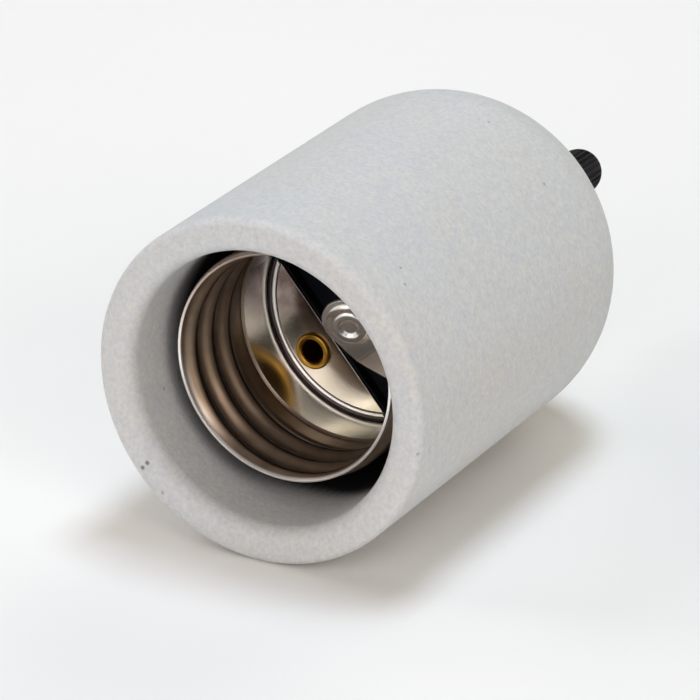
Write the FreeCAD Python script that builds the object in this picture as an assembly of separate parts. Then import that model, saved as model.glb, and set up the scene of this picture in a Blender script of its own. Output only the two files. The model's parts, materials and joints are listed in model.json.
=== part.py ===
import FreeCAD, Part
import math
import os

from FreeCAD import Vector

# Lamp holder with a porcelain body, a rolled medium screw shell and a rotary switch
# that is turned by a slim knob at the back.
# The pieces are drawn round the Y axis, mouth at y = 0 and back at +y.
# The last step moves them to the part's own origin, the mouth of the side outlet.

# Porcelain body
mouth_bore_radius = 16.0
body_wall = 4.1
body_length = 58.0
mouth_lip_round = 1.95
front_edge_round = 1.1
back_flat_radius = 5.6
seat_ledge = 1.0
cavity_depth = 50.0
cavity_round = 5.0
nut_recess_play = 1.2
nut_recess_depth = 0.4

# Side outlet, tapped for a 1/8 inch pipe nipple
outlet_bore_radius = 4.6
outlet_wall = 1.7
outlet_flange_width = 1.3
outlet_flange_thickness = 1.8
outlet_past_seat = 0.2
outlet_flat_depth = 1.2
outlet_seat_depth = 0.2

# The mechanism sits a little askew in the fired body, with its mouth end up
mechanism_lean = 1.15

# Screw shell: medium base, 7 turns to the inch, right hand
sheet = 0.3
thread_pitch = 25.4 / 7
thread_crest_radius = 12.58
thread_root_radius = 13.48
shell_rim_depth = 6.7
thread_end_depth = 17.8
thread_runout = 0.9
rim_groove_angle = 207.0
relief_radius = 13.35
relief_end_depth = 19.9
relief_step = 0.25
shell_wall_radius = 13.07
shell_bottom_depth = 25.8
shell_corner_round = 0.4
bead_half_width = 0.33
bead_height = 0.28
thread_lines_per_pitch = 9
thread_line_points = 24
sewing_tolerance = 0.001
chord_distance = 6.38
chord_cut_above = 0.9

# The contact strip lies along the slot of the shell's bottom, turned from the X axis
contact_turn = 49.4

# Hollow eyelets
eyelet_offset = 9.47
eyelet_hole_radius = 1.3
eyelet_wall = 0.35
eyelet_flange_radius = 2.2
eyelet_tail_radius = 2.0
eyelet_flange_height = 0.5
eyelet_flange_round = 0.4

# Insulating base
base_thickness = 5.1
base_play = 0.4
slot_half_width = 6.1
slot_depth = 1.4
slot_end_play = 1.0

# Centre contact
strip_thickness = 0.4
strip_width = 6.4
tip_depth = 20.5
tip_slope = 22.0
leaf_bend_offset = 3.85
button_radius = 2.3
button_height = 0.8
button_round = 0.48
button_dimple_radius = 1.35
button_dimple_depth = 0.25
foot_start = 8.9
foot_length = 3.3
contact_rivet_inset = 1.8
contact_rivet_lift = 0.35
rivet_shank_radius = 0.8
rivet_head_radius = 1.4
rivet_head_height = 0.5
rivet_head_round = 0.3

# Switch housing
housing_radius = 7.2
housing_wall = 1.1
housing_length = 12.8
housing_end_wall = 2.0
ear_thickness = 1.6
ear_radius = 2.7
terminal_half_width = 2.4

# Blades and terminals
blade_thickness = 0.4
blade_width = 3.6
blade_reach = 5.3
blade_foot_past_screw = 2.0
blade_tip_below_cam = 0.3
terminal_screw_offset = 11.0
terminal_turn = 35.0
screw_shank_radius = 1.2
screw_head_radius = 2.3
screw_head_height = 1.4
screw_head_bevel = 0.5
screw_depth = 3.0
screw_slot_width = 0.7
screw_slot_depth = 0.6

# Rotor, shaft and bushing
shaft_radius = 1.6
shaft_socket_depth = 2.0
rotor_front_gap = 2.4
hub_radius = 3.9
hub_length = 3.2
cam_across_flats = 6.9
cam_corner_radius = 4.6
cam_length = 3.3
bridge_thickness = 0.4
bridge_width = 4.8
pin_radius = 0.5
index_spring_thickness = 0.3
index_spring_half_length = 2.9
index_spring_width = 2.6
thrust_washer_radius = 3.4
thrust_washer_thickness = 0.5
bushing_radius = 4.7
bushing_flange_radius = 5.7
bushing_flange_thickness = 1.1
bushing_past_nut = 1.1

# Lock washer and nut
lock_washer_radius = 7.0
lock_washer_ring = 1.0
lock_washer_thickness = 0.7
lock_washer_teeth = 10
nut_across_flats = 13.0
nut_thickness = 2.8
nut_chamfer = 0.5

# Knob
knob_gap = 0.7
knob_length = 18.3
knob_base_radius = 3.2
knob_tip_radius = 2.8
knob_flutes = 26
knob_flute_depth = 0.22
knob_ridge_past = 0.06
knob_collar_length = 1.6
knob_socket_depth = 11.5
shaft_end_gap = 0.5

# Clearances
running_clearance = 0.05
assembly_clearance = 0.1
bushing_play = 0.3
switch_clearance = 0.35

# Places that follow from the sizes
shell_outer_bottom = shell_bottom_depth + sheet
seat_depth = shell_outer_bottom + base_thickness
body_radius = mouth_bore_radius + body_wall
back_shoulder_round = body_radius - back_flat_radius
cavity_radius = mouth_bore_radius - seat_ledge
nut_recess_radius = lock_washer_radius + nut_recess_play
outlet_neck_radius = outlet_bore_radius + outlet_wall
outlet_flange_radius = outlet_neck_radius + outlet_flange_width
outlet_from_mouth = seat_depth + outlet_flange_radius + outlet_past_seat
outlet_spotface_radius = outlet_neck_radius + outlet_wall
outlet_land = body_radius - outlet_flat_depth
outlet_seat = cavity_radius + outlet_seat_depth
base_radius = mouth_bore_radius - base_play
base_front = shell_outer_bottom
slot_floor = base_front + slot_depth
base_back = seat_depth
ear_back = base_back + ear_thickness
blade_back = base_back + blade_thickness
housing_end = base_back + housing_length
housing_inner_end = housing_end - housing_end_wall
flange_front = housing_inner_end - bushing_flange_thickness
washer_front = flange_front - thrust_washer_thickness
rotor_front = base_back + rotor_front_gap
rotor_middle = rotor_front + hub_length
rotor_back = rotor_middle + cam_length
recess_floor = body_length - nut_recess_depth
nut_front = recess_floor + lock_washer_thickness
nut_back = nut_front + nut_thickness
bushing_end = nut_back + bushing_past_nut
knob_front = bushing_end + knob_gap
knob_end = knob_front + knob_length
strip_half_width = strip_width / 2
bend_depth = tip_depth + button_height + leaf_bend_offset * math.tan(math.radians(tip_slope))
foot_top = slot_floor - strip_thickness
foot_end = foot_start + foot_length
slot_reach = foot_end + slot_end_play
contact_rivet_offset = foot_start + contact_rivet_inset
blade_foot_end = terminal_screw_offset + blade_foot_past_screw

X_AXIS = Vector(1, 0, 0)
Y_AXIS = Vector(0, 1, 0)
Z_AXIS = Vector(0, 0, 1)
ORIGIN = Vector(0, 0, 0)


def cylinder(radius, start, end, x=0, z=0):
    """A round bar along Y from start to end."""
    return Part.makeCylinder(radius, end - start, Vector(x, start, z), Y_AXIS)


def tube(outer, inner, start, end, x=0, z=0):
    """A round tube along Y."""
    return cylinder(outer, start, end, x, z).cut(cylinder(inner, start, end, x, z))


def block(x_range, y_range, z_range):
    """A box between the given limits."""
    low = Vector(x_range[0], y_range[0], z_range[0])
    size = [high - start for start, high in (x_range, y_range, z_range)]
    return Part.makeBox(size[0], size[1], size[2], low)


def turned_profile(points):
    """The solid of revolution of an outline given as (radius, y)."""
    outline = [Vector(radius, y, 0) for radius, y in points]
    face = Part.Face(Part.makePolygon(outline + outline[:1]))
    return face.revolve(ORIGIN, Y_AXIS, 360)


def ring_edges(shape, picks):
    """The circular edges that lie at the given (radius, y)."""
    edges = []
    for edge in shape.Edges:
        curve = edge.Curve
        if not isinstance(curve, Part.Circle):
            continue
        for ring, depth in picks:
            if abs(curve.Radius - ring) < 1e-4 and abs(curve.Center.y - depth) < 1e-4:
                edges.append(edge)
    return edges


def round_edges(shape, radius, picks):
    """Round the circular edges that lie at the given (radius, y)."""
    return shape.makeFillet(radius, ring_edges(shape, picks))


def bevel_edges(shape, size, picks):
    """Bevel the circular edges that lie at the given (radius, y)."""
    return shape.makeChamfer(size, ring_edges(shape, picks))


def ceramic_body():
    """One slip of porcelain: thick wall, rounded shoulder, bore for the screw shell."""
    body = cylinder(body_radius, 0, body_length)
    body = round_edges(body, back_shoulder_round, [(body_radius, body_length)])
    body = body.cut(mouth_bore())
    body = round_edges(body, front_edge_round, [(body_radius, 0)])
    body = round_edges(body, mouth_lip_round, [(mouth_bore_radius, 0)])
    cavity = cylinder(cavity_radius, seat_depth - 1, cavity_depth)
    cavity = round_edges(cavity, cavity_round, [(cavity_radius, cavity_depth)])
    hole = cylinder(bushing_radius + bushing_play, cavity_depth - 1, body_length + 1)
    recess = cylinder(nut_recess_radius, recess_floor, body_length + 1)
    return body.cut([lean(cut) for cut in (cavity, hole, recess)] + outlet_cuts())


def mouth_bore():
    """The bore from the mouth to the seat, whose face is square to the mechanism."""
    past_seat = seat_depth + 1
    bore = cylinder(mouth_bore_radius, 0, past_seat)
    behind_seat = lean(cylinder(body_radius, seat_depth, past_seat + 1))
    return bore.cut(behind_seat)


def outlet_cylinder(radius, top, bottom):
    """A round bar along Z at the side outlet, between two distances below the axis."""
    return Part.makeCylinder(radius, bottom - top, Vector(0, outlet_from_mouth, -bottom), Z_AXIS)


def outlet_cuts():
    """The flat outside, the through hole and the flat seat inside the cavity."""
    spotface = outlet_cylinder(outlet_spotface_radius, outlet_land, body_radius + 1)
    through = outlet_cylinder(outlet_neck_radius + assembly_clearance, cavity_radius / 2, body_radius)
    seat = outlet_cylinder(outlet_flange_radius + assembly_clearance, cavity_radius / 2, outlet_seat)
    return [spotface, through, seat]


def side_outlet_bushing():
    """Flanged bushing put in from inside, for the supply pipe and its wires."""
    flange_top = outlet_seat - outlet_flange_thickness
    flange = outlet_cylinder(outlet_flange_radius, flange_top, outlet_seat)
    neck = outlet_cylinder(outlet_neck_radius, outlet_seat, outlet_land)
    bore = outlet_cylinder(outlet_bore_radius, flange_top, outlet_land)
    return flange.fuse(neck).cut(bore).removeSplitter()


def thread_strength(depth):
    """One in the thread, fading to nothing over its run-out."""
    share = (thread_end_depth - depth) / thread_runout
    share = max(0.0, min(1.0, share))
    return share * share * (3 - 2 * share)


def thread_line(depth, offset):
    """The closed line of the wall at one depth: a wave that climbs one pitch in each turn."""
    middle = (thread_crest_radius + thread_root_radius) / 2 + offset
    swing = (thread_root_radius - thread_crest_radius) / 2
    turn = (depth - shell_rim_depth) / thread_pitch * 2 * math.pi - math.radians(rim_groove_angle)
    strength = thread_strength(depth)
    points = []
    for i in range(thread_line_points + 1):
        angle = 2 * math.pi * i / thread_line_points
        radius = (middle + swing * math.cos(turn + angle)) * strength
        radius += (relief_radius + offset) * (1 - strength)
        points.append(Vector(radius * math.cos(angle), depth, radius * math.sin(angle)))
    curve = Part.BSplineCurve()
    curve.interpolate(points)
    return curve.toShape()


def relief_line(offset):
    """The round line where the thread ends and the relief groove begins."""
    start = Part.Vertex(relief_radius + offset, thread_end_depth, 0)
    return start.revolve(ORIGIN, -Y_AXIS, 360)


def thread_skin(offset):
    """The threaded wall, as bands ruled from one line to the next."""
    height = thread_end_depth - shell_rim_depth
    count = math.ceil(height / thread_pitch * thread_lines_per_pitch)
    lines = [thread_line(shell_rim_depth + height * i / count, offset) for i in range(count)]
    lines.append(relief_line(offset))
    return lines, [Part.makeRuledSurface(upper, lower) for upper, lower in zip(lines, lines[1:])]


def smooth_skin(offset, beaded):
    """The wall below the thread: relief groove, plain wall, rounded corner and the flat bottom."""
    relief = relief_radius + offset
    wall = shell_wall_radius + offset
    bottom = shell_bottom_depth + offset
    corner = shell_corner_round + offset
    middle = corner * (1 - math.sqrt(0.5))
    relief_end = Vector(relief, relief_end_depth, 0)
    wall_start = Vector(wall, relief_end_depth + relief_step, 0)
    wall_end = Vector(wall, bottom - corner, 0)
    bottom_start = Vector(wall - corner, bottom, 0)
    edges = [
        Part.LineSegment(Vector(relief, thread_end_depth, 0), relief_end),
        Part.LineSegment(relief_end, wall_start),
        Part.LineSegment(wall_start, wall_end),
        Part.Arc(wall_end, Vector(wall - middle, bottom - middle, 0), bottom_start),
    ]
    if beaded:
        crown = Vector(bottom_start.x - bead_half_width, bottom - bead_height, 0)
        bead_end = Vector(crown.x - bead_half_width, bottom, 0)
        edges.append(Part.Arc(bottom_start, crown, bead_end))
        bottom_start = bead_end
    edges.append(Part.LineSegment(bottom_start, Vector(0, bottom, 0)))
    return Part.Wire([edge.toShape() for edge in edges]).revolve(ORIGIN, Y_AXIS, 360).Faces


def screw_shell():
    """Rolled sheet: threaded wall, and a bottom with a coined bead and a wide slot across it."""
    inner_lines, inner_bands = thread_skin(0)
    outer_lines, outer_bands = thread_skin(sheet)
    rim = Part.Face(Part.Wire(outer_lines[0])).cut(Part.Face(Part.Wire(inner_lines[0])))
    skins = inner_bands + outer_bands + smooth_skin(0, True) + smooth_skin(sheet, False) + rim.Faces
    skin = Part.makeCompound(skins)
    skin.sewShape(sewing_tolerance)
    shell = Part.Solid(skin.Shells[0])
    if shell.Volume < 0:
        shell.reverse()
    slot = block((-body_radius, body_radius), (shell_bottom_depth - chord_cut_above, shell_outer_bottom + 1),
                 (-chord_distance, chord_distance))
    holes = eyelet_bars(eyelet_hole_radius + eyelet_wall + assembly_clearance / 2,
                        shell_bottom_depth - 1, shell_outer_bottom + 1)
    return shell.cut([turn_with_contact(cut) for cut in [slot] + holes])


def eyelet_bars(radius, start, end):
    """A bar at each of the two eyelets."""
    return [cylinder(radius, start, end, z=side * eyelet_offset) for side in (-1, 1)]


def shell_eyelets():
    """Two hollow eyelets that clamp the shell, the base and the housing together."""
    outer = eyelet_hole_radius + eyelet_wall
    front = shell_bottom_depth - eyelet_flange_height
    back = ear_back + eyelet_flange_height
    eyelets = []
    for side in (-1, 1):
        z = side * eyelet_offset
        solid = cylinder(outer, shell_bottom_depth, ear_back, z=z)
        solid = solid.fuse([
            cylinder(eyelet_flange_radius, front, shell_bottom_depth, z=z),
            cylinder(eyelet_tail_radius, ear_back, back, z=z),
        ])
        solid = solid.cut(cylinder(eyelet_hole_radius, front - 1, back + 1, z=z)).removeSplitter()
        solid = round_edges(solid, eyelet_flange_round, [(eyelet_flange_radius, front)])
        solid = round_edges(solid, eyelet_flange_round, [(eyelet_hole_radius, front)])
        eyelets.append(solid)
    return Part.makeCompound(eyelets)


def contact_base():
    """Moulded insulating disc with the slot for the contact strip."""
    base = cylinder(base_radius, base_front, base_back)
    slot = block((-slot_reach, slot_reach), (base_front - 1, slot_floor), (-slot_half_width, slot_half_width))
    slot = slot.common(cylinder(slot_reach, base_front - 1, slot_floor))
    eyelet_hole = eyelet_hole_radius + eyelet_wall + assembly_clearance / 2
    holes = eyelet_bars(eyelet_hole, base_front - 1, base_back + 1)
    holes.append(cylinder(rivet_shank_radius + assembly_clearance / 2, base_front - 1, base_back + 1,
                          x=contact_rivet_offset))
    holes.append(cylinder(shaft_radius + running_clearance, base_back - shaft_socket_depth, base_back + 1))
    screw_hole = screw_shank_radius + assembly_clearance / 2
    for x, z in (line_screw_place(), shell_screw_place()):
        holes.append(cylinder(screw_hole, base_back - screw_depth, base_back + 1, x=x, z=z))
    return base.cut([slot] + holes)


def line_screw_place():
    """Where the supply wire's screw stands."""
    return -terminal_screw_offset, 0.0


def shell_screw_place():
    """Where the neutral wire's screw stands, beside the lower eyelet."""
    angle = math.radians(-90 + terminal_turn)
    return terminal_screw_offset * math.cos(angle), terminal_screw_offset * math.sin(angle)


def strip_from_line(line, width):
    """A flat strip, bent along a line of (x, y) points on its mouth side."""
    lower = offset_line(line, strip_thickness)
    outline = [Vector(x, y, -width / 2) for x, y in line + lower[::-1]]
    face = Part.Face(Part.makePolygon(outline + outline[:1]))
    return face.extrude(Vector(0, 0, width))


def offset_line(line, distance):
    """The same bent line, moved away from the mouth by the sheet's thickness."""
    moved = []
    for i, (x, y) in enumerate(line):
        normals = []
        for a, b in ((i - 1, i), (i, i + 1)):
            if a < 0 or b >= len(line):
                continue
            dx = line[b][0] - line[a][0]
            dy = line[b][1] - line[a][1]
            length = math.hypot(dx, dy)
            normals.append((-dy / length, dx / length))
        nx = sum(normal[0] for normal in normals) / len(normals)
        ny = sum(normal[1] for normal in normals) / len(normals)
        scale = distance / (nx * nx + ny * ny)
        moved.append((x + nx * scale, y + ny * scale))
    return moved


def centre_contact():
    """Spring strip: riveted foot, rising leaf and a round tip with a dimpled button."""
    slope = math.tan(math.radians(tip_slope))
    tip_centre_depth = tip_depth + button_height
    free_end = -strip_half_width
    line = [
        (free_end, tip_centre_depth + free_end * slope),
        (leaf_bend_offset, bend_depth),
        (foot_start, foot_top),
        (foot_end, foot_top),
    ]
    strip = strip_from_line(line, strip_width)
    keep = cylinder(strip_half_width, 0, body_length)
    keep = keep.fuse(block((0, foot_end + 1), (0, body_length), (-strip_half_width, strip_half_width)))
    strip = strip.common(keep)
    button = cylinder(button_radius, -button_height, strip_thickness / 2)
    button = round_edges(button, button_round, [(button_radius, -button_height)])
    button = button.cut(cylinder(button_dimple_radius, -button_height - 1, button_dimple_depth - button_height))
    button.rotate(ORIGIN, Z_AXIS, tip_slope)
    button.translate(Vector(0, tip_centre_depth, 0))
    hole = cylinder(rivet_shank_radius + switch_clearance, foot_top - 1, slot_floor + 1, x=contact_rivet_offset)
    return strip.fuse(button).cut(hole).removeSplitter()


def contact_rivet():
    """Rivet through the strip's foot, the base and the switched blade behind it."""
    head_back = foot_top - contact_rivet_lift
    head = cylinder(rivet_head_radius, head_back - rivet_head_height, head_back, x=contact_rivet_offset)
    head = round_edges(head, rivet_head_round, [(rivet_head_radius, head_back - rivet_head_height)])
    shank = cylinder(rivet_shank_radius, head_back, blade_back, x=contact_rivet_offset)
    tail = cylinder(rivet_head_radius, blade_back, blade_back + rivet_head_height, x=contact_rivet_offset)
    return head.fuse([shank, tail])


def blade(side, hole_x, hole_radius, foot_end):
    """A contact blade: foot on the back of the base and a leg beside the rotor."""
    foot = block((blade_reach, foot_end), (base_back, blade_back), (-blade_width / 2, blade_width / 2))
    leg = block((blade_reach - blade_thickness, blade_reach), (base_back, rotor_middle - blade_tip_below_cam),
                (-blade_width / 2, blade_width / 2))
    solid = foot.fuse(leg).removeSplitter()
    solid = solid.cut(cylinder(hole_radius, base_back - 1, blade_back + 1, x=hole_x))
    if side < 0:
        solid.rotate(ORIGIN, Y_AXIS, 180)
    return solid


def contact_blade():
    """The blade that feeds the centre contact."""
    return blade(1, contact_rivet_offset, rivet_shank_radius + assembly_clearance / 2, blade_foot_end)


def line_blade():
    """The blade that the supply wire is screwed to."""
    return blade(-1, terminal_screw_offset, screw_shank_radius + assembly_clearance / 2, blade_foot_end)


def terminal_screw(place, seat):
    """A slotted binding-head screw, head away from the mouth."""
    x, z = place
    shank = cylinder(screw_shank_radius, base_back - screw_depth, seat, x=x, z=z)
    head = cylinder(screw_head_radius, seat, seat + screw_head_height, x=x, z=z)
    top = seat + screw_head_height
    head = bevel_edges(head, screw_head_bevel, [(screw_head_radius, top)])
    slot = block((x - screw_head_radius, x + screw_head_radius), (top - screw_slot_depth, top + 1),
                 (z - screw_slot_width / 2, z + screw_slot_width / 2))
    return head.fuse(shank).cut(slot).removeSplitter()


def line_terminal_screw():
    """Screw on the supply side."""
    return terminal_screw(line_screw_place(), blade_back)


def shell_terminal_screw():
    """Screw on the neutral side."""
    return terminal_screw(shell_screw_place(), ear_back)


def shell_terminal():
    """Flat lug under one eyelet, with the hole for the neutral wire's screw."""
    front = ear_back - blade_thickness
    x, z = shell_screw_place()
    eyelet_z = -eyelet_offset
    angle = math.atan2(z - eyelet_z, x)
    half = terminal_half_width
    side = Vector(-math.sin(angle) * half, 0, math.cos(angle) * half)
    start = Vector(0, front, eyelet_z)
    end = Vector(x, front, z)
    outline = [start + side, end + side, end - side, start - side]
    bar = Part.Face(Part.makePolygon(outline + outline[:1])).extrude(Vector(0, blade_thickness, 0))
    lug = bar.fuse([cylinder(half, front, ear_back, z=eyelet_z), cylinder(half, front, ear_back, x=x, z=z)])
    eyelet_hole = cylinder(eyelet_hole_radius + eyelet_wall + assembly_clearance / 2, front - 1, ear_back + 1,
                           z=eyelet_z)
    screw_hole = cylinder(screw_shank_radius + assembly_clearance / 2, front - 1, ear_back + 1, x=x, z=z)
    lug = lug.cut(cylinder(housing_radius + assembly_clearance, front - 1, ear_back + 1))
    return lug.cut([eyelet_hole, screw_hole]).removeSplitter()


def switch_housing():
    """Moulded cup round the rotor, with two ears that the eyelets hold."""
    inner = housing_radius - housing_wall
    cup = cylinder(housing_radius, base_back, housing_end)
    ears = []
    for side in (-1, 1):
        top = ear_back - blade_thickness if side < 0 else ear_back
        ears.append(cylinder(ear_radius, base_back, top, z=side * eyelet_offset))
        near, far = sorted((0, side * eyelet_offset))
        ears.append(block((-ear_radius, ear_radius), (base_back, top), (near, far)))
    cup = cup.fuse(ears)
    cuts = [cylinder(inner, base_back - 1, housing_inner_end)]
    cuts.append(cylinder(bushing_radius + assembly_clearance / 2, housing_inner_end - 1, housing_end + 1))
    slot_half = blade_width / 2 + assembly_clearance
    slot_top = blade_back + assembly_clearance
    cuts.append(block((-body_radius, body_radius), (base_back - 1, slot_top), (-slot_half, slot_half)))
    cuts += eyelet_bars(eyelet_hole_radius + eyelet_wall + assembly_clearance / 2, base_back - 1, ear_back + 1)
    cuts += eyelet_bars(eyelet_flange_radius + assembly_clearance, ear_back, ear_back + 2 * eyelet_flange_height)
    return cup.cut(cuts).removeSplitter()


def square_cam(radius, across, start, end):
    """A square block with its corners turned to a radius."""
    half = across / 2
    return block((-half, half), (start, end), (-half, half)).common(cylinder(radius, start, end))


def rotor():
    """Moulded hub with a four-sided cam for the switch's four stops."""
    hub = cylinder(hub_radius, rotor_front, rotor_middle)
    cam = square_cam(cam_corner_radius, cam_across_flats, rotor_middle, rotor_back)
    bore = cylinder(shaft_radius + assembly_clearance / 2, rotor_front - 1, rotor_back + 1)
    pin_hole = cross_bar(pin_radius + running_clearance, cam_across_flats)
    bed = hub_radius - bridge_thickness
    half = bridge_width / 2
    hub = hub.cut([
        block((bed, hub_radius), (rotor_front - 1, rotor_middle), (-half, half)),
        block((-hub_radius, -bed), (rotor_front - 1, rotor_middle), (-half, half)),
    ])
    return hub.fuse(cam).cut([bore, pin_hole]).removeSplitter()


def cross_bar(radius, length):
    """A bar across the shaft, in the middle of the cam."""
    middle = (rotor_middle + rotor_back) / 2
    return Part.makeCylinder(radius, length, Vector(-length / 2, middle, 0), X_AXIS)


def rotor_bridge():
    """Bent strip that joins the two blades when the switch is on."""
    half = bridge_width / 2
    outer = hub_radius
    bed = outer - bridge_thickness
    front = rotor_front - bridge_thickness
    bridge = block((-outer, outer), (front, rotor_front), (-half, half))
    for x_range in ((bed, outer), (-outer, -bed)):
        bridge = bridge.fuse(block(x_range, (rotor_front, rotor_middle), (-half, half)))
    hole = cylinder(shaft_radius + assembly_clearance / 2, front - 1, rotor_front + 1)
    return bridge.cut(hole).removeSplitter()


def rotor_pin():
    """Cross pin that locks the rotor on its shaft."""
    return cross_bar(pin_radius, cam_across_flats - 2 * assembly_clearance)


def switch_shaft():
    """Round shaft from its socket in the base to inside the knob."""
    end = knob_front + knob_socket_depth - shaft_end_gap
    shaft = cylinder(shaft_radius, base_back - shaft_socket_depth + assembly_clearance, end)
    return shaft.cut(cross_bar(pin_radius + running_clearance, 3 * shaft_radius))


def index_spring():
    """Flat spring beside the cam, held in the housing."""
    near = cam_corner_radius + switch_clearance
    middle = (rotor_middle + rotor_back) / 2
    return block((-index_spring_half_length, index_spring_half_length),
                 (middle - index_spring_width / 2, middle + index_spring_width / 2),
                 (near, near + index_spring_thickness))


def thrust_washer():
    """Fibre washer between the rotor and the bushing."""
    return tube(thrust_washer_radius, shaft_radius + assembly_clearance, washer_front, flange_front)


def shaft_bushing():
    """Threaded bushing that draws the mechanism into the body."""
    bushing = cylinder(bushing_flange_radius, flange_front, housing_inner_end)
    bushing = bushing.fuse(cylinder(bushing_radius, housing_inner_end, bushing_end))
    bushing = bushing.cut(cylinder(shaft_radius + running_clearance, flange_front - 1, bushing_end + 1))
    return bevel_edges(bushing.removeSplitter(), nut_chamfer, [(bushing_radius, bushing_end)])


def lock_washer():
    """Lock washer with teeth inside, under the nut."""
    ring_inner = lock_washer_radius - lock_washer_ring
    bore = bushing_radius + assembly_clearance
    washer = tube(lock_washer_radius, ring_inner, recess_floor, nut_front)
    tooth_width = math.pi * bore / lock_washer_teeth
    teeth = []
    for i in range(lock_washer_teeth):
        tooth = block((bore, ring_inner + lock_washer_ring / 2), (recess_floor, nut_front),
                      (-tooth_width / 2, tooth_width / 2))
        tooth.rotate(ORIGIN, Y_AXIS, 360 / lock_washer_teeth * i)
        teeth.append(tooth)
    washer = washer.fuse(teeth)
    return washer.cut(cylinder(bore, recess_floor - 1, nut_front + 1)).removeSplitter()


def bushing_nut():
    """Hexagon nut with turned corners."""
    corner = nut_across_flats / math.sqrt(3)
    points = []
    for i in range(6):
        angle = math.radians(60 * i + 30)
        points.append(Vector(corner * math.cos(angle), nut_front, corner * math.sin(angle)))
    nut = Part.Face(Part.makePolygon(points + points[:1])).extrude(Vector(0, nut_thickness, 0))
    turned = turned_profile([
        (0, nut_front),
        (corner, nut_front),
        (corner, nut_back - nut_chamfer),
        (corner - 2 * nut_chamfer, nut_back),
        (0, nut_back),
    ])
    nut = nut.common(turned)
    return nut.cut(cylinder(bushing_radius + running_clearance, nut_front - 1, nut_back + 1))


def fluted_outline(radius, depth):
    """A closed outline with one ridge for each flute; the ridges stand past the radius."""
    points = []
    for i in range(2 * knob_flutes):
        reach = radius - knob_flute_depth if i % 2 else radius + knob_ridge_past
        angle = math.pi * i / knob_flutes
        points.append(Vector(reach * math.cos(angle), depth, reach * math.sin(angle)))
    return Part.makePolygon(points + points[:1])


def knob():
    """Slim fluted knob with a slight taper, a plain collar and a domed end."""
    dome_start = knob_end - knob_tip_radius
    taper = (knob_base_radius - knob_tip_radius) / (dome_start - knob_front)
    end_radius = knob_tip_radius - taper * knob_tip_radius
    ridges = Part.makeLoft([
        fluted_outline(knob_base_radius, knob_front),
        fluted_outline(end_radius, knob_end),
    ], True, True)
    half_dome = Vector(knob_tip_radius * math.sqrt(0.5), dome_start + knob_tip_radius * math.sqrt(0.5), 0)
    corners = [Vector(0, knob_front, 0), Vector(knob_base_radius, knob_front, 0),
               Vector(knob_tip_radius, dome_start, 0), Vector(0, knob_end, 0)]
    outline = Part.Wire([
        Part.LineSegment(corners[0], corners[1]).toShape(),
        Part.LineSegment(corners[1], corners[2]).toShape(),
        Part.Arc(corners[2], half_dome, corners[3]).toShape(),
        Part.LineSegment(corners[3], corners[0]).toShape(),
    ])
    grip = ridges.common(Part.Face(outline).revolve(ORIGIN, Y_AXIS, 360))
    collar = cylinder(knob_base_radius + knob_ridge_past, knob_front, knob_front + knob_collar_length)
    socket = cylinder(shaft_radius + running_clearance, knob_front - 1, knob_front + knob_socket_depth)
    return grip.fuse(collar).cut(socket)


def turn_with_contact(shape):
    """Turn a piece of the mechanism to the angle of the contact strip."""
    shape.rotate(ORIGIN, Y_AXIS, contact_turn)
    return shape


def lean(shape):
    """Tip a piece about the level of the side outlet, as the mechanism sits in the body."""
    shape.rotate(Vector(0, outlet_from_mouth, 0), X_AXIS, -mechanism_lean)
    return shape


def export(name, shape):
    """Write one piece, moved so that the mouth of the side outlet is the origin."""
    shape.translate(Vector(0, -outlet_from_mouth, outlet_land))
    shape.exportStep("parts/" + name + ".step")


BODY_PIECES = {
    "ceramic_body": ceramic_body,
    "side_outlet_bushing": side_outlet_bushing,
}

MECHANISM_PIECES = {
    "shell_eyelets": shell_eyelets,
    "contact_base": contact_base,
    "centre_contact": centre_contact,
    "contact_rivet": contact_rivet,
    "contact_blade": contact_blade,
    "line_blade": line_blade,
    "line_terminal_screw": line_terminal_screw,
    "shell_terminal": shell_terminal,
    "shell_terminal_screw": shell_terminal_screw,
    "switch_housing": switch_housing,
    "rotor": rotor,
    "rotor_bridge": rotor_bridge,
    "rotor_pin": rotor_pin,
    "switch_shaft": switch_shaft,
    "index_spring": index_spring,
    "thrust_washer": thrust_washer,
    "shaft_bushing": shaft_bushing,
    "lock_washer": lock_washer,
    "bushing_nut": bushing_nut,
    "knob": knob,
}


def main():
    """Build and write every piece."""
    os.makedirs("parts", exist_ok=True)
    for name, make in BODY_PIECES.items():
        export(name, make())
    export("screw_shell", lean(screw_shell()))
    for name, make in MECHANISM_PIECES.items():
        export(name, lean(turn_with_contact(make())))


main()
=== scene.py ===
import json
import math

import bmesh
import bpy
from mathutils import Matrix, Vector


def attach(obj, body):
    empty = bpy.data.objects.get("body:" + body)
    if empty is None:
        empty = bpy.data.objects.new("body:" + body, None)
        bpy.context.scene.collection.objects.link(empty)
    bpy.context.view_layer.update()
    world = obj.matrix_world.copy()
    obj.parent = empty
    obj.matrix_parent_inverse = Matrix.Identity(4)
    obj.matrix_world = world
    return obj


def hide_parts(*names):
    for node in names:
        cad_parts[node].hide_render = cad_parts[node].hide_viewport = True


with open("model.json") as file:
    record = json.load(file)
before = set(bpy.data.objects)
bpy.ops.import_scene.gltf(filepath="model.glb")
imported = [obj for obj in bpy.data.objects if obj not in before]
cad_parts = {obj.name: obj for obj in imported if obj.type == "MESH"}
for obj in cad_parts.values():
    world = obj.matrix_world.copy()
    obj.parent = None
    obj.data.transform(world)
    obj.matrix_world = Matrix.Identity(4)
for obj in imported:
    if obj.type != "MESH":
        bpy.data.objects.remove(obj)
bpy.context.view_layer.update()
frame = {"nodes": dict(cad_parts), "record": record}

MM = 0.001

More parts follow.
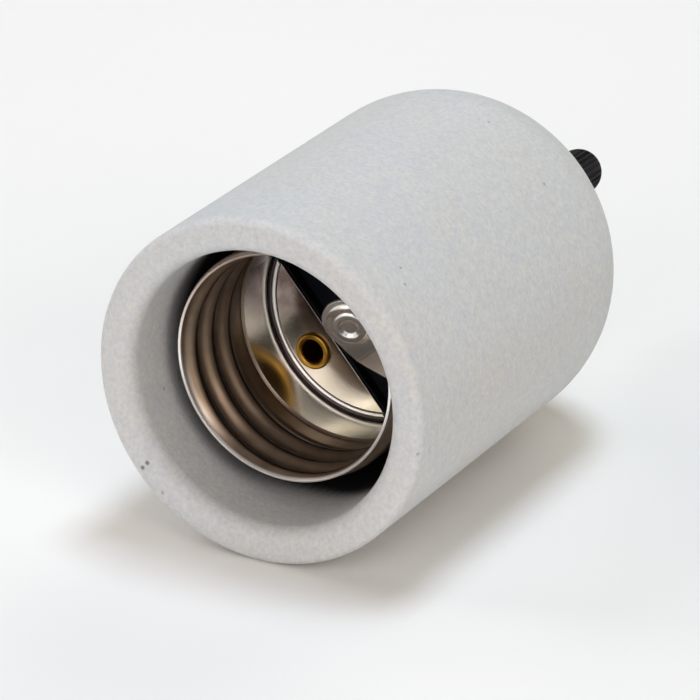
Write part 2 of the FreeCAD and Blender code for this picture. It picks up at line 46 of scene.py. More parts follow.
# The body lies on its side: its axis is along Y, above the side outlet's mouth
AXIS_HEIGHT = 18.9 * MM
BODY_RADIUS = 20.1 * MM
MOUTH = -39.0 * MM
FLOOR_LEVEL = AXIS_HEIGHT - BODY_RADIUS
BORE_RADIUS = 16.0 * MM

# Painted shade in the bore: it starts at one depth behind the mouth, is full at the next and ends with the
# cavity
BORE_SHADE_START = 7.7 * MM
BORE_SHADE_FULL = 13.0 * MM
CAVITY_END = 50.0 * MM

# How the pieces' triangles are joined
WELD_DISTANCE = 0.002 * MM
SMOOTH_ANGLE = math.radians(35)
SMOOTHED_NODES = ("shell_eyelets", "contact_rivet")

# Dark specks in the porcelain, and the chipped spot on its front ring
SPECK_SIZE = 0.28 * MM
SPECK_STRENGTH = 0.45
SPECKS = [
    Vector((6.6, 2.6, 37.9)) * MM,
    Vector((14.7, 0.6, 32.6)) * MM,
    Vector((19.6, -38.6, 16.0)) * MM,
    Vector((13.6, -31.4, 33.7)) * MM,
    Vector((14.8, -32.7, 32.5)) * MM,
    Vector((-15.3, -32.9, 14.1)) * MM,
    Vector((-12.0, -39.0, 4.6)) * MM,
]
CHIP_SIZE = 0.36 * MM
CHIP_STRENGTH = 0.8
CHIPS = [Vector((-14.5, -39.0, 7.1)) * MM, Vector((-13.9, -39.0, 7.8)) * MM]

# The mechanism leans in the body, and its contact strip is turned from the X axis
MECHANISM_LEAN = math.radians(1.15)
CONTACT_TURN = math.radians(49.4)

# Screw shell, with depths from the mouth of the body
SHEET = 0.3 * MM
THREAD_PITCH = 25.4 / 7 * MM
THREAD_CREST = 12.58 * MM
THREAD_ROOT = 13.48 * MM
RIM_DEPTH = 6.7 * MM
THREAD_END = 17.8 * MM
THREAD_RUNOUT = 0.9 * MM
RIM_GROOVE_ANGLE = math.radians(207.0)
RELIEF_RADIUS = 13.35 * MM
RELIEF_END = 19.9 * MM
RELIEF_STEP = 0.25 * MM
WALL_RADIUS = 13.07 * MM
BOTTOM_DEPTH = 25.8 * MM
CORNER_ROUND = 0.4 * MM
BEAD_HALF_WIDTH = 0.33 * MM
BEAD_HEIGHT = 0.28 * MM
BOTTOM_INNER = 5.0 * MM
CHORD_DISTANCE = 6.38 * MM
CHORD_CUT_ABOVE = 0.9 * MM
EYELET_OFFSET = 9.47 * MM
EYELET_HOLE = 1.7 * MM
SHELL_SIDES = 180
THREAD_STEP = 0.12 * MM
CORNER_STEPS = 6
BEAD_STEPS = 10
EYELET_SIDES = 64

# Centre contact, along its strip from the axis of the shell
STRIP_SHEET = 0.4 * MM
STRIP_HALF_WIDTH = 3.2 * MM
TIP_DEPTH = 21.3 * MM
TIP_SLOPE = math.radians(22.0)
TIP_NORMAL = Vector((math.sin(TIP_SLOPE), -math.cos(TIP_SLOPE), 0))
LEAF_BEND = 3.85 * MM
FOOT_START = 8.9 * MM
FOOT_END = 12.2 * MM
FOOT_DEPTH = 27.1 * MM
BUTTON_HEIGHT = 0.8 * MM
BUTTON_RADIUS = 2.3 * MM
BUTTON_ROUND = 0.48 * MM
BUTTON_SKIRT = 0.45 * MM
DIMPLE_RADIUS = 1.35 * MM
DIMPLE_DEPTH = 0.25 * MM
DIMPLE_ROUND = 0.6 * MM
RIVET_PLACE = 10.7 * MM
RIVET_HOLE = 1.15 * MM
CONTACT_SIDES = 96
TIP_RINGS = 40
TIP_CENTRE = 0.02 * MM
BEND_STEPS = 4
RIVET_SIDES = 48

# Camera of the photograph
CAMERA_PLACE = Vector((0.25195, -0.47748, 0.24044))
CAMERA_RIGHT = Vector((0.87688, 0.48071, 0.0))
CAMERA_UP = Vector((-0.18904, 0.34483, 0.91943))
CAMERA_LENS = 262.61
SENSOR_WIDTH = 36.0

# Metal finishes: depths of the rolled lines, and the shell's roughness from zone to zone
METAL_EDGE_ROUND = 0.12 * MM
EDGE_SAMPLES = 6
FINE_LINES = 0.0003 * MM
BRASS_LINES = 0.0006 * MM
STEEL_LINES = 0.01 * MM
THREAD_BARE = 0.8
THREAD_ROUGHNESS = 0.32
WALL_ROUGHNESS = 0.21
PLATE_ROUGHNESS = 0.19
BEAD_ROUGHNESS = 0.20

# Heights over the shell's axis between which the painted shade on the plate and wall fades into painted
# light, the rim's painted highlight brightens, and the wider painted highlight on its lower side starts and
# ends
BRIGHT_PLATE = (-0.5 * MM, -6.0 * MM)
BRIGHT_WALL = (4.0 * MM, -6.0 * MM)
BRIGHT_RIM = (9.0 * MM, -2.0 * MM)
RIM_HIGHLIGHT_TOP = (0.0, -5.0 * MM)
RIM_HIGHLIGHT_LOW = (-10.5 * MM, -7.5 * MM)
RIM_HIGHLIGHT_SHARE = 0.45
EDGE_WEAR_SHARE = 0.3

# Studio
FLOOR_SIZE = 6.0
FLOOR_COLOUR = (0.886, 0.885, 0.873)
BACKDROP_COLOUR = (0.85, 0.85, 0.84)
LIGHT_DISTANCE = 1.0


def mechanism_place():
    """Where the mechanism's own frame, on its axis and with depths from the mouth, lies in the part."""
    lean = Matrix.Rotation(-MECHANISM_LEAN, 4, "X")
    return Matrix.Translation((0, 0, AXIS_HEIGHT)) @ lean @ Matrix.Translation((0, MOUTH, 0))


def clear_selection():
    """Nothing selected, so that an operator acts only on what is added next."""
    bpy.ops.object.select_all(action="DESELECT")


def add_node(tree, kind, **settings):
    """A shader node with its settings."""
    node = tree.nodes.new(kind)
    for name, value in settings.items():
        setattr(node, name, value)
    return node


def feed(tree, target, value):
    """Link an output to a socket, or set the socket's own value."""
    if isinstance(value, bpy.types.NodeSocket):
        tree.links.new(value, target)
    else:
        target.default_value = value


def arithmetic(tree, operation, first, second=0.0):
    """The result of one sum on two values."""
    node = add_node(tree, "ShaderNodeMath", operation=operation)
    feed(tree, node.inputs[0], first)
    feed(tree, node.inputs[1], second)
    return node.outputs[0]


def blend_colours(tree, share, first, second):
    """A colour between two colours."""
    node = add_node(tree, "ShaderNodeMix", data_type="RGBA")
    feed(tree, node.inputs[0], share)
    feed(tree, node.inputs[6], first)
    feed(tree, node.inputs[7], second)
    return node.outputs[2]


def rescale(tree, value, low, high, new_low, new_high):
    """A value moved from one range to another and kept inside it."""
    node = add_node(tree, "ShaderNodeMapRange", clamp=True)
    for socket, number in zip(node.inputs, (value, low, high, new_low, new_high)):
        feed(tree, socket, number)
    return node.outputs[0]


def noise(tree, place, scale, detail=3.0, roughness=0.5):
    """Smooth noise at so many waves to the metre."""
    node = add_node(tree, "ShaderNodeTexNoise")
    feed(tree, node.inputs["Vector"], place)
    feed(tree, node.inputs["Scale"], scale)
    feed(tree, node.inputs["Detail"], detail)
    feed(tree, node.inputs["Roughness"], roughness)
    return node.outputs["Fac"]


def mechanism_frame(tree, place, stretch=1.0):
    """A place seen from the mechanism's leaning axis at the mouth, stretched across that axis."""
    node = add_node(tree, "ShaderNodeMapping", vector_type="TEXTURE")
    feed(tree, node.inputs["Vector"], place)
    node.inputs["Location"].default_value = mechanism_place().translation
    node.inputs["Rotation"].default_value = (-MECHANISM_LEAN, 0, 0)
    node.inputs["Scale"].default_value = (stretch, 1, stretch)
    return node.outputs["Vector"]


def radius_and_depth(tree, place):
    """The distance from the mechanism's axis, the depth from the mouth and the height over the axis."""
    parts = add_node(tree, "ShaderNodeSeparateXYZ")
    feed(tree, parts.inputs["Vector"], mechanism_frame(tree, place))
    across = arithmetic(tree, "MULTIPLY", parts.outputs["X"], parts.outputs["X"])
    upward = arithmetic(tree, "MULTIPLY", parts.outputs["Z"], parts.outputs["Z"])
    radius = arithmetic(tree, "SQRT", arithmetic(tree, "ADD", across, upward))
    return radius, parts.outputs["Y"], parts.outputs["Z"]


def smooth_step(tree, value, low, high):
    """Nothing below one value, one above the other, and a soft change between."""
    node = add_node(tree, "ShaderNodeMapRange", interpolation_type="SMOOTHSTEP")
    for socket, number in zip(node.inputs, (value, low, high)):
        feed(tree, socket, number)
    return node.outputs[0]


def bump(tree, height, distance, normal=None):
    """A normal tilted by a height pattern."""
    node = add_node(tree, "ShaderNodeBump")
    feed(tree, node.inputs["Height"], height)
    node.inputs["Distance"].default_value = distance
    if normal is not None:
        feed(tree, node.inputs["Normal"], normal)
    return node.outputs["Normal"]


def start_group(name, inputs, outputs):
    """An empty node group with named sockets."""
    group = bpy.data.node_groups.new(name, "ShaderNodeTree")
    for label, kind, value in inputs:
        socket = group.interface.new_socket(label, in_out="INPUT", socket_type=kind)
        if value is not None:
            socket.default_value = value
    for label, kind in outputs:
        group.interface.new_socket(label, in_out="OUTPUT", socket_type=kind)
    return group, add_node(group, "NodeGroupInput"), add_node(group, "NodeGroupOutput")


def use_group(tree, group, **values):
    """A node group placed in a material with its own values."""
    node = add_node(tree, "ShaderNodeGroup", node_tree=group)
    for label, value in values.items():
        feed(tree, node.inputs[label.replace("_", " ")], value)
    return node.outputs


def edge_wear_group():
    """A mask of the piece's edges, broken up by noise."""
    group, source, result = start_group(
        "edge wear",
        [("Place", "NodeSocketVector", None), ("Width", "NodeSocketFloat", 0.2 * MM),
         ("Patch", "NodeSocketFloat", 2000.0)],
        [("Mask", "NodeSocketFloat")],
    )
    rounded = add_node(group, "ShaderNodeBevel", samples=EDGE_SAMPLES)
    feed(group, rounded.inputs["Radius"], source.outputs["Width"])
    true = add_node(group, "ShaderNodeNewGeometry")
    dot = add_node(group, "ShaderNodeVectorMath", operation="DOT_PRODUCT")
    feed(group, dot.inputs[0], rounded.outputs["Normal"])
    feed(group, dot.inputs[1], true.outputs["Normal"])
    edge = rescale(group, dot.outputs["Value"], 0.995, 0.88, 0.0, 1.0)
    patches = noise(group, source.outputs["Place"], source.outputs["Patch"], 4.0, 0.6)
    broken = rescale(group, patches, 0.38, 0.62, 0.15, 1.0)
    feed(group, result.inputs["Mask"], arithmetic(group, "MULTIPLY", edge, broken))
    return group


def turned_lines_group():
    """Fine rings round the body's axis, as left by a lathe or a roller."""
    group, source, result = start_group(
        "turned lines",
        [("Place", "NodeSocketVector", None), ("Density", "NodeSocketFloat", 9000.0)],
        [("Height", "NodeSocketFloat")],
    )
    along = mechanism_frame(group, source.outputs["Place"], 12)
    lines = noise(group, along, source.outputs["Density"], 4.0, 0.65)
    feed(group, result.inputs["Height"], lines)
    return group


def mottle_group():
    """Cloudy patches and fine grain, each between 0 and 1."""
    group, source, result = start_group(
        "mottle",
        [("Place", "NodeSocketVector", None), ("Cloud", "NodeSocketFloat", 120.0),
         ("Grain", "NodeSocketFloat", 3000.0)],
        [("Clouds", "NodeSocketFloat"), ("Grains", "NodeSocketFloat")],
    )
    place = source.outputs["Place"]
    clouds = rescale(group, noise(group, place, source.outputs["Cloud"], 3.0), 0.3, 0.7, 0.0, 1.0)
    grains = rescale(group, noise(group, place, source.outputs["Grain"], 5.0, 0.7), 0.25, 0.75, 0.0, 1.0)
    feed(group, result.inputs["Clouds"], clouds)
    feed(group, result.inputs["Grains"], grains)
    return group


def bore_shade_group():
    """A mask of painted shade in the deep part of the body's bore."""
    group, source, result = start_group(
        "bore painted shade",
        [("Place", "NodeSocketVector", None)],
        [("Mask", "NodeSocketFloat")],
    )
    radius, depth, _ = radius_and_depth(group, source.outputs["Place"])
    inside = smooth_step(group, radius, BORE_RADIUS + 0.6 * MM, BORE_RADIUS + 0.5 * MM)
    deep = smooth_step(group, depth, BORE_SHADE_START, BORE_SHADE_FULL)
    enclosed = smooth_step(group, depth, CAVITY_END + 1.5 * MM, CAVITY_END + 0.5 * MM)
    deep = arithmetic(group, "MULTIPLY", deep, enclosed)
    feed(group, result.inputs["Mask"], arithmetic(group, "MULTIPLY", deep, inside))
    return group


EDGE_WEAR = edge_wear_group()
BORE_SHADE = bore_shade_group()
TURNED_LINES = turned_lines_group()
MOTTLE = mottle_group()


def start_material(name):
    """A material with its shader and the object's own coordinates."""
    material = bpy.data.materials.new(name)
    material.use_nodes = True
    tree = material.node_tree
    tree.nodes.clear()
    shader = add_node(tree, "ShaderNodeBsdfPrincipled")
    output = add_node(tree, "ShaderNodeOutputMaterial")
    tree.links.new(shader.outputs["BSDF"], output.inputs["Surface"])
    place = add_node(tree, "ShaderNodeTexCoord").outputs["Object"]
    return material, tree, shader, place


def marks_mask(tree, place, centres, size, strength):
    """Small round marks, full at their centres and nothing past their edges."""
    marks = 0.0
    for centre in centres:
        node = add_node(tree, "ShaderNodeVectorMath", operation="DISTANCE")
        feed(tree, node.inputs[0], place)
        node.inputs[1].default_value = centre
        mark = smooth_step(tree, node.outputs["Value"], size, size * 0.4)
        marks = arithmetic(tree, "MAXIMUM", marks, mark)
    return arithmetic(tree, "MULTIPLY", marks, strength)


def rounded_lines(tree, place, depth):
    """A normal with rolled lines of some depth and softly rounded edges."""
    rounded = add_node(tree, "ShaderNodeBevel", samples=EDGE_SAMPLES)
    rounded.inputs["Radius"].default_value = METAL_EDGE_ROUND
    lines = use_group(tree, TURNED_LINES, Place=place)["Height"]
    return bump(tree, lines, depth, rounded.outputs["Normal"])


def porcelain():
    """Unglazed white porcelain: faint blue and warm clouds, fine grain, dark specks, a chipped spot, and
    painted shade that turns the deep bore near black.
    """
    material, tree, shader, place = start_material("porcelain")
    wide = use_group(tree, MOTTLE, Place=place, Cloud=60.0, Grain=2100.0)
    small = use_group(tree, MOTTLE, Place=place, Cloud=900.0, Grain=1500.0)
    base = blend_colours(tree, wide["Clouds"], (0.578, 0.595, 0.604, 1), (0.598, 0.594, 0.584, 1))
    tint = blend_colours(tree, small["Clouds"], (0.95, 0.96, 1.0, 1), (1.045, 1.035, 1.005, 1))
    grain = blend_colours(tree, wide["Grains"], (0.85, 0.85, 0.85, 1), (1.13, 1.13, 1.13, 1))
    for layer in (tint, grain):
        toned_and_shaded = add_node(tree, "ShaderNodeMix", data_type="RGBA", blend_type="MULTIPLY")
        feed(tree, toned_and_shaded.inputs[0], 1.0)
        feed(tree, toned_and_shaded.inputs[6], base)
        feed(tree, toned_and_shaded.inputs[7], layer)
        base = toned_and_shaded.outputs[2]
    specks = marks_mask(tree, place, SPECKS, SPECK_SIZE, SPECK_STRENGTH)
    base = blend_colours(tree, specks, base, (0.10, 0.09, 0.085, 1))
    chips = marks_mask(tree, place, CHIPS, CHIP_SIZE, CHIP_STRENGTH)
    base = blend_colours(tree, chips, base, (0.13, 0.08, 0.055, 1))
    # Painted shade: the porcelain turns near black with depth in the bore
    bore_shade = use_group(tree, BORE_SHADE, Place=place)["Mask"]
    feed(tree, shader.inputs["Base Color"], blend_colours(tree, bore_shade, base, (0.010, 0.009, 0.013, 1)))
    feed(tree, shader.inputs["Roughness"], rescale(tree, wide["Grains"], 0, 1, 0.62, 0.82))
    feed(tree, shader.inputs["Normal"], bump(tree, wide["Grains"], 0.03 * MM))
    return material


def metal(name, fresh, tarnish, roughness, line_depth, edge, bare=1.0):
    """Plated or bare metal with rolled lines, cloudy tarnish and bright worn edges."""
    material, tree, shader, place = start_material(name)
    shader.inputs["Metallic"].default_value = bare
    patches = use_group(tree, MOTTLE, Place=place, Cloud=260.0, Grain=1800.0)
    wear = use_group(tree, EDGE_WEAR, Place=place)["Mask"]
    colour = blend_colours(tree, patches["Clouds"], tarnish, fresh)
    colour = blend_colours(tree, wear, colour, edge)
    feed(tree, shader.inputs["Base Color"], colour)
    rough = rescale(tree, patches["Grains"], 0, 1, roughness * 0.93, roughness * 1.1)
    feed(tree, shader.inputs["Roughness"], rough)
    feed(tree, shader.inputs["Normal"], rounded_lines(tree, place, line_depth))
    return material


def thread_painted_shade(tree, radius):
    """A mask of painted shade on the thread: its crests and its faces that look away from the mouth."""
    parts = add_node(tree, "ShaderNodeSeparateXYZ")
    feed(tree, parts.inputs["Vector"], add_node(tree, "ShaderNodeNewGeometry").outputs["Normal"])
    away = smooth_step(tree, parts.outputs["Y"], 0.05, 0.25)
    not_facing = smooth_step(tree, parts.outputs["Y"], -0.45, -0.15)
    at_crest = smooth_step(tree, radius, THREAD_CREST + 0.55 * MM, THREAD_CREST + 0.25 * MM)
    return arithmetic(tree, "MAXIMUM", away, arithmetic(tree, "MULTIPLY", not_facing, at_crest))


def bottom_painted_light(tree, clouds, height, on_wall, on_bead):
    """The shell below its thread: a plate with painted shade at its top and painted light low down over
    cloudy tone, a bead painted bright as a highlight, and a near-white wall with painted reflection that
    brightens low down.
    """
    toned_and_shaded = blend_colours(tree, clouds, (0.15, 0.105, 0.10, 1), (0.36, 0.31, 0.29, 1))
    # Painted shade darkens the plate's top; painted light brightens its lower part, the bead and the wall's
    # lower side
    plate_low = smooth_step(tree, height, *BRIGHT_PLATE)
    plate = blend_colours(tree, plate_low, toned_and_shaded, (0.60, 0.565, 0.475, 1))
    plate = blend_colours(tree, on_bead, plate, (0.97, 0.95, 0.90, 1))
    wall_low = smooth_step(tree, height, *BRIGHT_WALL)
    wall = blend_colours(tree, wall_low, (0.98, 0.91, 0.87, 1), (1.0, 0.97, 0.90, 1))
    return blend_colours(tree, on_wall, plate, wall)


def corner_painted_shade(tree, radius, depth):
    """A mask of painted shade in the corner between the shell's wall and its bottom."""
    in_corner = smooth_step(tree, radius, WALL_RADIUS - 0.55 * MM, WALL_RADIUS - 0.42 * MM)
    at_bottom = smooth_step(tree, depth, BOTTOM_DEPTH - 0.55 * MM, BOTTOM_DEPTH - 0.35 * MM)
    return arithmetic(tree, "MULTIPLY", in_corner, at_bottom)


def rim_mask(tree, depth, height):
    """A mask of the shell's rim edge, widened at its lower side by a painted highlight."""
    rim = smooth_step(tree, depth, RIM_DEPTH + 0.40 * MM, RIM_DEPTH + 0.15 * MM)
    lower_highlight = smooth_step(tree, depth, RIM_DEPTH + 1.0 * MM, RIM_DEPTH + 0.4 * MM)
    for levels in (RIM_HIGHLIGHT_TOP, RIM_HIGHLIGHT_LOW):
        lower_highlight = arithmetic(tree, "MULTIPLY", lower_highlight, smooth_step(tree, height, *levels))
    return arithmetic(tree, "MAXIMUM", rim, arithmetic(tree, "MULTIPLY", lower_highlight, RIM_HIGHLIGHT_SHARE))


def shell_roughness(tree, grains, past_thread, on_wall, on_bead):
    """The shell's roughness: its thread, wall, bead and plate differ, with a fine grain over all."""
    below = rescale(tree, on_wall, 0, 1, PLATE_ROUGHNESS, WALL_ROUGHNESS)
    off_wall = arithmetic(tree, "MULTIPLY", on_bead, arithmetic(tree, "SUBTRACT", 1.0, on_wall))
    below = arithmetic(tree, "ADD", below, arithmetic(tree, "MULTIPLY", off_wall, BEAD_ROUGHNESS))
    above = arithmetic(tree, "MULTIPLY", arithmetic(tree, "SUBTRACT", 1.0, past_thread), THREAD_ROUGHNESS)
    even = arithmetic(tree, "ADD", above, arithmetic(tree, "MULTIPLY", past_thread, below))
    return arithmetic(tree, "MULTIPLY", even, rescale(tree, grains, 0, 1, 0.92, 1.08))


def shell_metal():
    """Nickelled sheet: a dull brown thread, a darker copy of the nickel as painted shade; a bottom with
    painted shade and painted light; a rim with a painted highlight low down; and painted shade in grooves and
    corner.
    """
    material, tree, shader, place = start_material("shell_nickel")
    patches = use_group(tree, MOTTLE, Place=place, Cloud=420.0, Grain=1500.0)
    radius, depth, height = radius_and_depth(tree, place)
    past_thread = smooth_step(tree, depth, RELIEF_END + 0.15 * MM, RELIEF_END + 0.35 * MM)
    on_wall = smooth_step(tree, radius, WALL_RADIUS - 0.3 * MM, WALL_RADIUS - 0.2 * MM)
    on_bead = smooth_step(tree, radius, WALL_RADIUS - 1.1 * MM, WALL_RADIUS - 0.95 * MM)
    bottom = bottom_painted_light(tree, patches["Clouds"], height, on_wall, on_bead)
    # Painted shade: the thread is a darker copy of the shell's nickel, darker still on its crests and on the
    # faces that look away from the mouth
    thread = blend_colours(tree, patches["Clouds"], (0.235, 0.17, 0.12, 1), (0.31, 0.23, 0.17, 1))
    thread = blend_colours(tree, thread_painted_shade(tree, radius), thread, (0.018, 0.012, 0.011, 1))
    colour = blend_colours(tree, past_thread, thread, bottom)
    # Painted shade: the corner between wall and bottom is darkened
    colour = blend_colours(tree, corner_painted_shade(tree, radius, depth), colour, (0.07, 0.055, 0.055, 1))
    edges = use_group(tree, EDGE_WEAR, Place=place)["Mask"]
    wear = arithmetic(tree, "MULTIPLY", edges, EDGE_WEAR_SHARE)
    colour = blend_colours(tree, wear, colour, (0.85, 0.78, 0.70, 1))
    # Painted highlight: the rim's colour turns near white towards its lower side
    rim_low = smooth_step(tree, height, *BRIGHT_RIM)
    rim_highlight_colour = blend_colours(tree, rim_low, (0.60, 0.48, 0.40, 1), (0.98, 0.94, 0.90, 1))
    colour = blend_colours(tree, rim_mask(tree, depth, height), colour, rim_highlight_colour)
    rough = shell_roughness(tree, patches["Grains"], past_thread, on_wall, on_bead)
    feed(tree, shader.inputs["Base Color"], colour)
    feed(tree, shader.inputs["Metallic"], rescale(tree, past_thread, 0, 1, THREAD_BARE, 1.0))
    feed(tree, shader.inputs["Roughness"], rough)
    feed(tree, shader.inputs["Normal"], rounded_lines(tree, place, FINE_LINES))
    return material


def moulded(name, colour, dust, roughness, sheen):
    """Dark moulded compound with a fine grain and dusty edges."""
    material, tree, shader, place = start_material(name)
    shader.inputs["Specular IOR Level"].default_value = sheen
    patches = use_group(tree, MOTTLE, Place=place, Cloud=400.0, Grain=6000.0)
    wear = use_group(tree, EDGE_WEAR, Place=place)["Mask"]
    lighter = [share * 1.5 for share in colour[:3]] + [1]
    shade = blend_colours(tree, patches["Clouds"], colour, lighter)
    feed(tree, shader.inputs["Base Color"], blend_colours(tree, wear, shade, dust))
    feed(tree, shader.inputs["Roughness"], rescale(tree, patches["Grains"], 0, 1, roughness, roughness + 0.2))
    feed(tree, shader.inputs["Normal"], bump(tree, patches["Grains"], 0.02 * MM))
    return material


def finishes():
    """The finish of each CAD node."""
    brass = metal("eyelet_brass", (0.52, 0.29, 0.05, 1), (0.33, 0.17, 0.022, 1), 0.30, BRASS_LINES,
                  (0.70, 0.48, 0.18, 1))
    contact = metal("contact_nickel", (0.96, 0.91, 0.85, 1), (0.86, 0.80, 0.73, 1), 0.20, FINE_LINES,
                    (0.98, 0.95, 0.91, 1), 0.82)
    steel = metal("zinc_steel", (0.62, 0.63, 0.64, 1), (0.45, 0.45, 0.45, 1), 0.34, STEEL_LINES,
                  (0.80, 0.80, 0.80, 1))
    base = moulded("black_moulding", (0.002, 0.003, 0.006, 1), (0.02, 0.02, 0.02, 1), 0.45, 0.12)
    black = moulded("knob_black", (0.003, 0.002, 0.005, 1), (0.02, 0.02, 0.02, 1), 0.42, 0.15)
    return {
        "ceramic_body": porcelain(),
        "screw_shell": shell_metal(),
        "shell_eyelets": brass,
        "centre_contact": contact,
        "contact_rivet": contact,
        "contact_base": base,
        "switch_housing": base,
        "rotor": base,
        "thrust_washer": base,
        "knob": black,
        "contact_blade": brass,
        "line_blade": brass,
        "line_terminal_screw": brass,
        "rotor_bridge": brass,
        "shell_terminal": brass,
        "shell_terminal_screw": steel,
        "rotor_pin": steel,
        "switch_shaft": steel,
        "index_spring": steel,
        "shaft_bushing": steel,
        "lock_washer": steel,
        "bushing_nut": steel,
        "side_outlet_bushing": steel,
    }


def body_of_node(name):
    """The body that a node moves with."""
    for body, members in frame["record"]["behaviour"]["bodies"].items():
        if name in members:
            return body


def pick(piece):
    """Select a piece alone."""
    clear_selection()
    piece.select_set(True)
    bpy.context.view_layer.objects.active = piece


def edit_mesh(piece, operator, **settings):
    """Run one mesh operator on all of a piece."""
    pick(piece)
    bpy.ops.object.mode_set(mode="EDIT")
    bpy.ops.mesh.select_all(action="SELECT")
    operator(**settings)
    bpy.ops.object.mode_set(mode="OBJECT")


def shade_smooth(piece):
    """Smooth shading over every edge that is not sharp."""
    pick(piece)
    bpy.ops.object.shade_smooth_by_angle(angle=SMOOTH_ANGLE)


def smooth_copy(name):
    """A node's shape with its triangles joined, so that its round faces reflect without facets."""
    piece = bpy.data.objects.new(name + "_smooth", frame["nodes"][name].data.copy())
    bpy.context.collection.objects.link(piece)
    edit_mesh(piece, bpy.ops.mesh.remove_doubles, threshold=WELD_DISTANCE)
    shade_smooth(piece)
    apply_modifier(piece, "WEIGHTED_NORMAL", keep_sharp=True)
    carry_over(piece, name)
    return piece


def carry_over(piece, name):
    """The piece takes a CAD node's place and body: the node is hidden and the piece moves with its body."""
    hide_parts(name)
    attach(piece, body_of_node(name))


def thread_strength(depth):
    """One in the thread, fading to nothing over its run-out."""
    share = max(0.0, min(1.0, (THREAD_END - depth) / THREAD_RUNOUT))
    return share * share * (3 - 2 * share)


def thread_radius(depth, angle):
    """The wall's inner radius: a wave that climbs one pitch in each turn."""
    middle = (THREAD_CREST + THREAD_ROOT) / 2
    swing = (THREAD_ROOT - THREAD_CREST) / 2
    turn = (depth - RIM_DEPTH) / THREAD_PITCH * 2 * math.pi - RIM_GROOVE_ANGLE
    strength = thread_strength(depth)
    return (middle + swing * math.cos(turn + angle)) * strength + RELIEF_RADIUS * (1 - strength)


def arc_points(centre, radius, start, end, steps):
    """Points of a round stretch of the profile, as (radius, depth)."""
    points = []
    for i in range(steps + 1):
        angle = math.radians(start + (end - start) * i / steps)
        points.append((centre[0] + radius * math.cos(angle), centre[1] + radius * math.sin(angle)))
    return points


def shell_profile():
    """The plain end of the shell, from the relief groove over the corner and the bead to the bottom."""
    corner = (WALL_RADIUS - CORNER_ROUND, BOTTOM_DEPTH - CORNER_ROUND)
    bead_radius = (BEAD_HALF_WIDTH ** 2 + BEAD_HEIGHT ** 2) / (2 * BEAD_HEIGHT)
    bead = (corner[0] - BEAD_HALF_WIDTH, BOTTOM_DEPTH - BEAD_HEIGHT + bead_radius)
    reach = math.degrees(math.asin(BEAD_HALF_WIDTH / bead_radius))
    profile = [(RELIEF_RADIUS, RELIEF_END), (WALL_RADIUS, RELIEF_END + RELIEF_STEP)]
    profile += arc_points(corner, CORNER_ROUND, 0, 90, CORNER_STEPS)
    profile += arc_points(bead, bead_radius, -90 + reach, -90 - reach, BEAD_STEPS)[1:]
    profile.append((BOTTOM_INNER, BOTTOM_DEPTH))
    return profile


def apply_modifier(piece, kind, **settings):
    """Add a modifier, set it and apply it."""
    pick(piece)
    modifier = piece.modifiers.new(kind.lower(), kind)
    for name, value in settings.items():
        setattr(modifier, name, value)
    bpy.ops.object.modifier_apply(modifier=modifier.name)


def cut_away(piece, cutter):
    """Cut one solid out of another and drop the cutter."""
    apply_modifier(piece, "BOOLEAN", operation="DIFFERENCE", solver="EXACT", object=cutter)
    bpy.data.objects.remove(cutter)


def cut_hole(piece, place, radius, sides, depth):
    """Cut a round hole whose axis runs along Y at a place."""
    bpy.ops.mesh.primitive_cylinder_add(vertices=sides, radius=radius, depth=depth)
    hole = bpy.context.object
    hole.matrix_world = place @ Matrix.Rotation(math.radians(90), 4, "X")
    cut_away(piece, hole)


def cut_slot(shell, turn):
    """Cut the straight slot across the shell's bottom."""
    bpy.ops.mesh.primitive_cube_add(size=1)
    slot = bpy.context.object
    height = CHORD_CUT_ABOVE + 3 * SHEET
    middle = BOTTOM_DEPTH - CHORD_CUT_ABOVE + height / 2
    size = Matrix.Diagonal((2 * BODY_RADIUS, height, 2 * CHORD_DISTANCE, 1))
    slot.matrix_world = turn @ Matrix.Translation((0, middle, 0)) @ size
    cut_away(shell, slot)


def rolled_sheet():
    """A flat grid rolled up along the thread's wave and the plain end's profile."""
    steps = round((THREAD_END - RIM_DEPTH) / THREAD_STEP)
    profile = shell_profile()
    last = steps + len(profile)
    clear_selection()
    bpy.ops.mesh.primitive_grid_add(x_subdivisions=last, y_subdivisions=SHELL_SIDES, size=1)
    sheet = bpy.context.object
    sheet.name = "rolled_shell"
    for vertex in sheet.data.vertices:
        station = round((vertex.co.x + 0.5) * last)
        angle = (vertex.co.y + 0.5) * 2 * math.pi
        if station <= steps:
            depth = RIM_DEPTH + (THREAD_END - RIM_DEPTH) * station / steps
            radius = thread_radius(depth, angle)
        else:
            radius, depth = profile[station - steps - 1]
        vertex.co = (radius * math.cos(angle), depth, radius * math.sin(angle))
    return sheet


def screw_shell():
    """The shell: a rolled sheet, closed, thickened and cut."""
    shell = rolled_sheet()
    edit_mesh(shell, bpy.ops.mesh.remove_doubles, threshold=WELD_DISTANCE)
    apply_modifier(shell, "SOLIDIFY", thickness=SHEET, offset=1.0)
    edit_mesh(shell, bpy.ops.mesh.normals_make_consistent, inside=False)
    turn = Matrix.Rotation(CONTACT_TURN, 4, "Y")
    cut_slot(shell, turn)
    for side in (-1, 1):
        place = turn @ Matrix.Translation((0, BOTTOM_DEPTH, side * EYELET_OFFSET))
        cut_hole(shell, place, EYELET_HOLE, EYELET_SIDES, 4 * SHEET)
    shell.data.transform(mechanism_place())
    shade_smooth(shell)
    carry_over(shell, "screw_shell")
    return shell


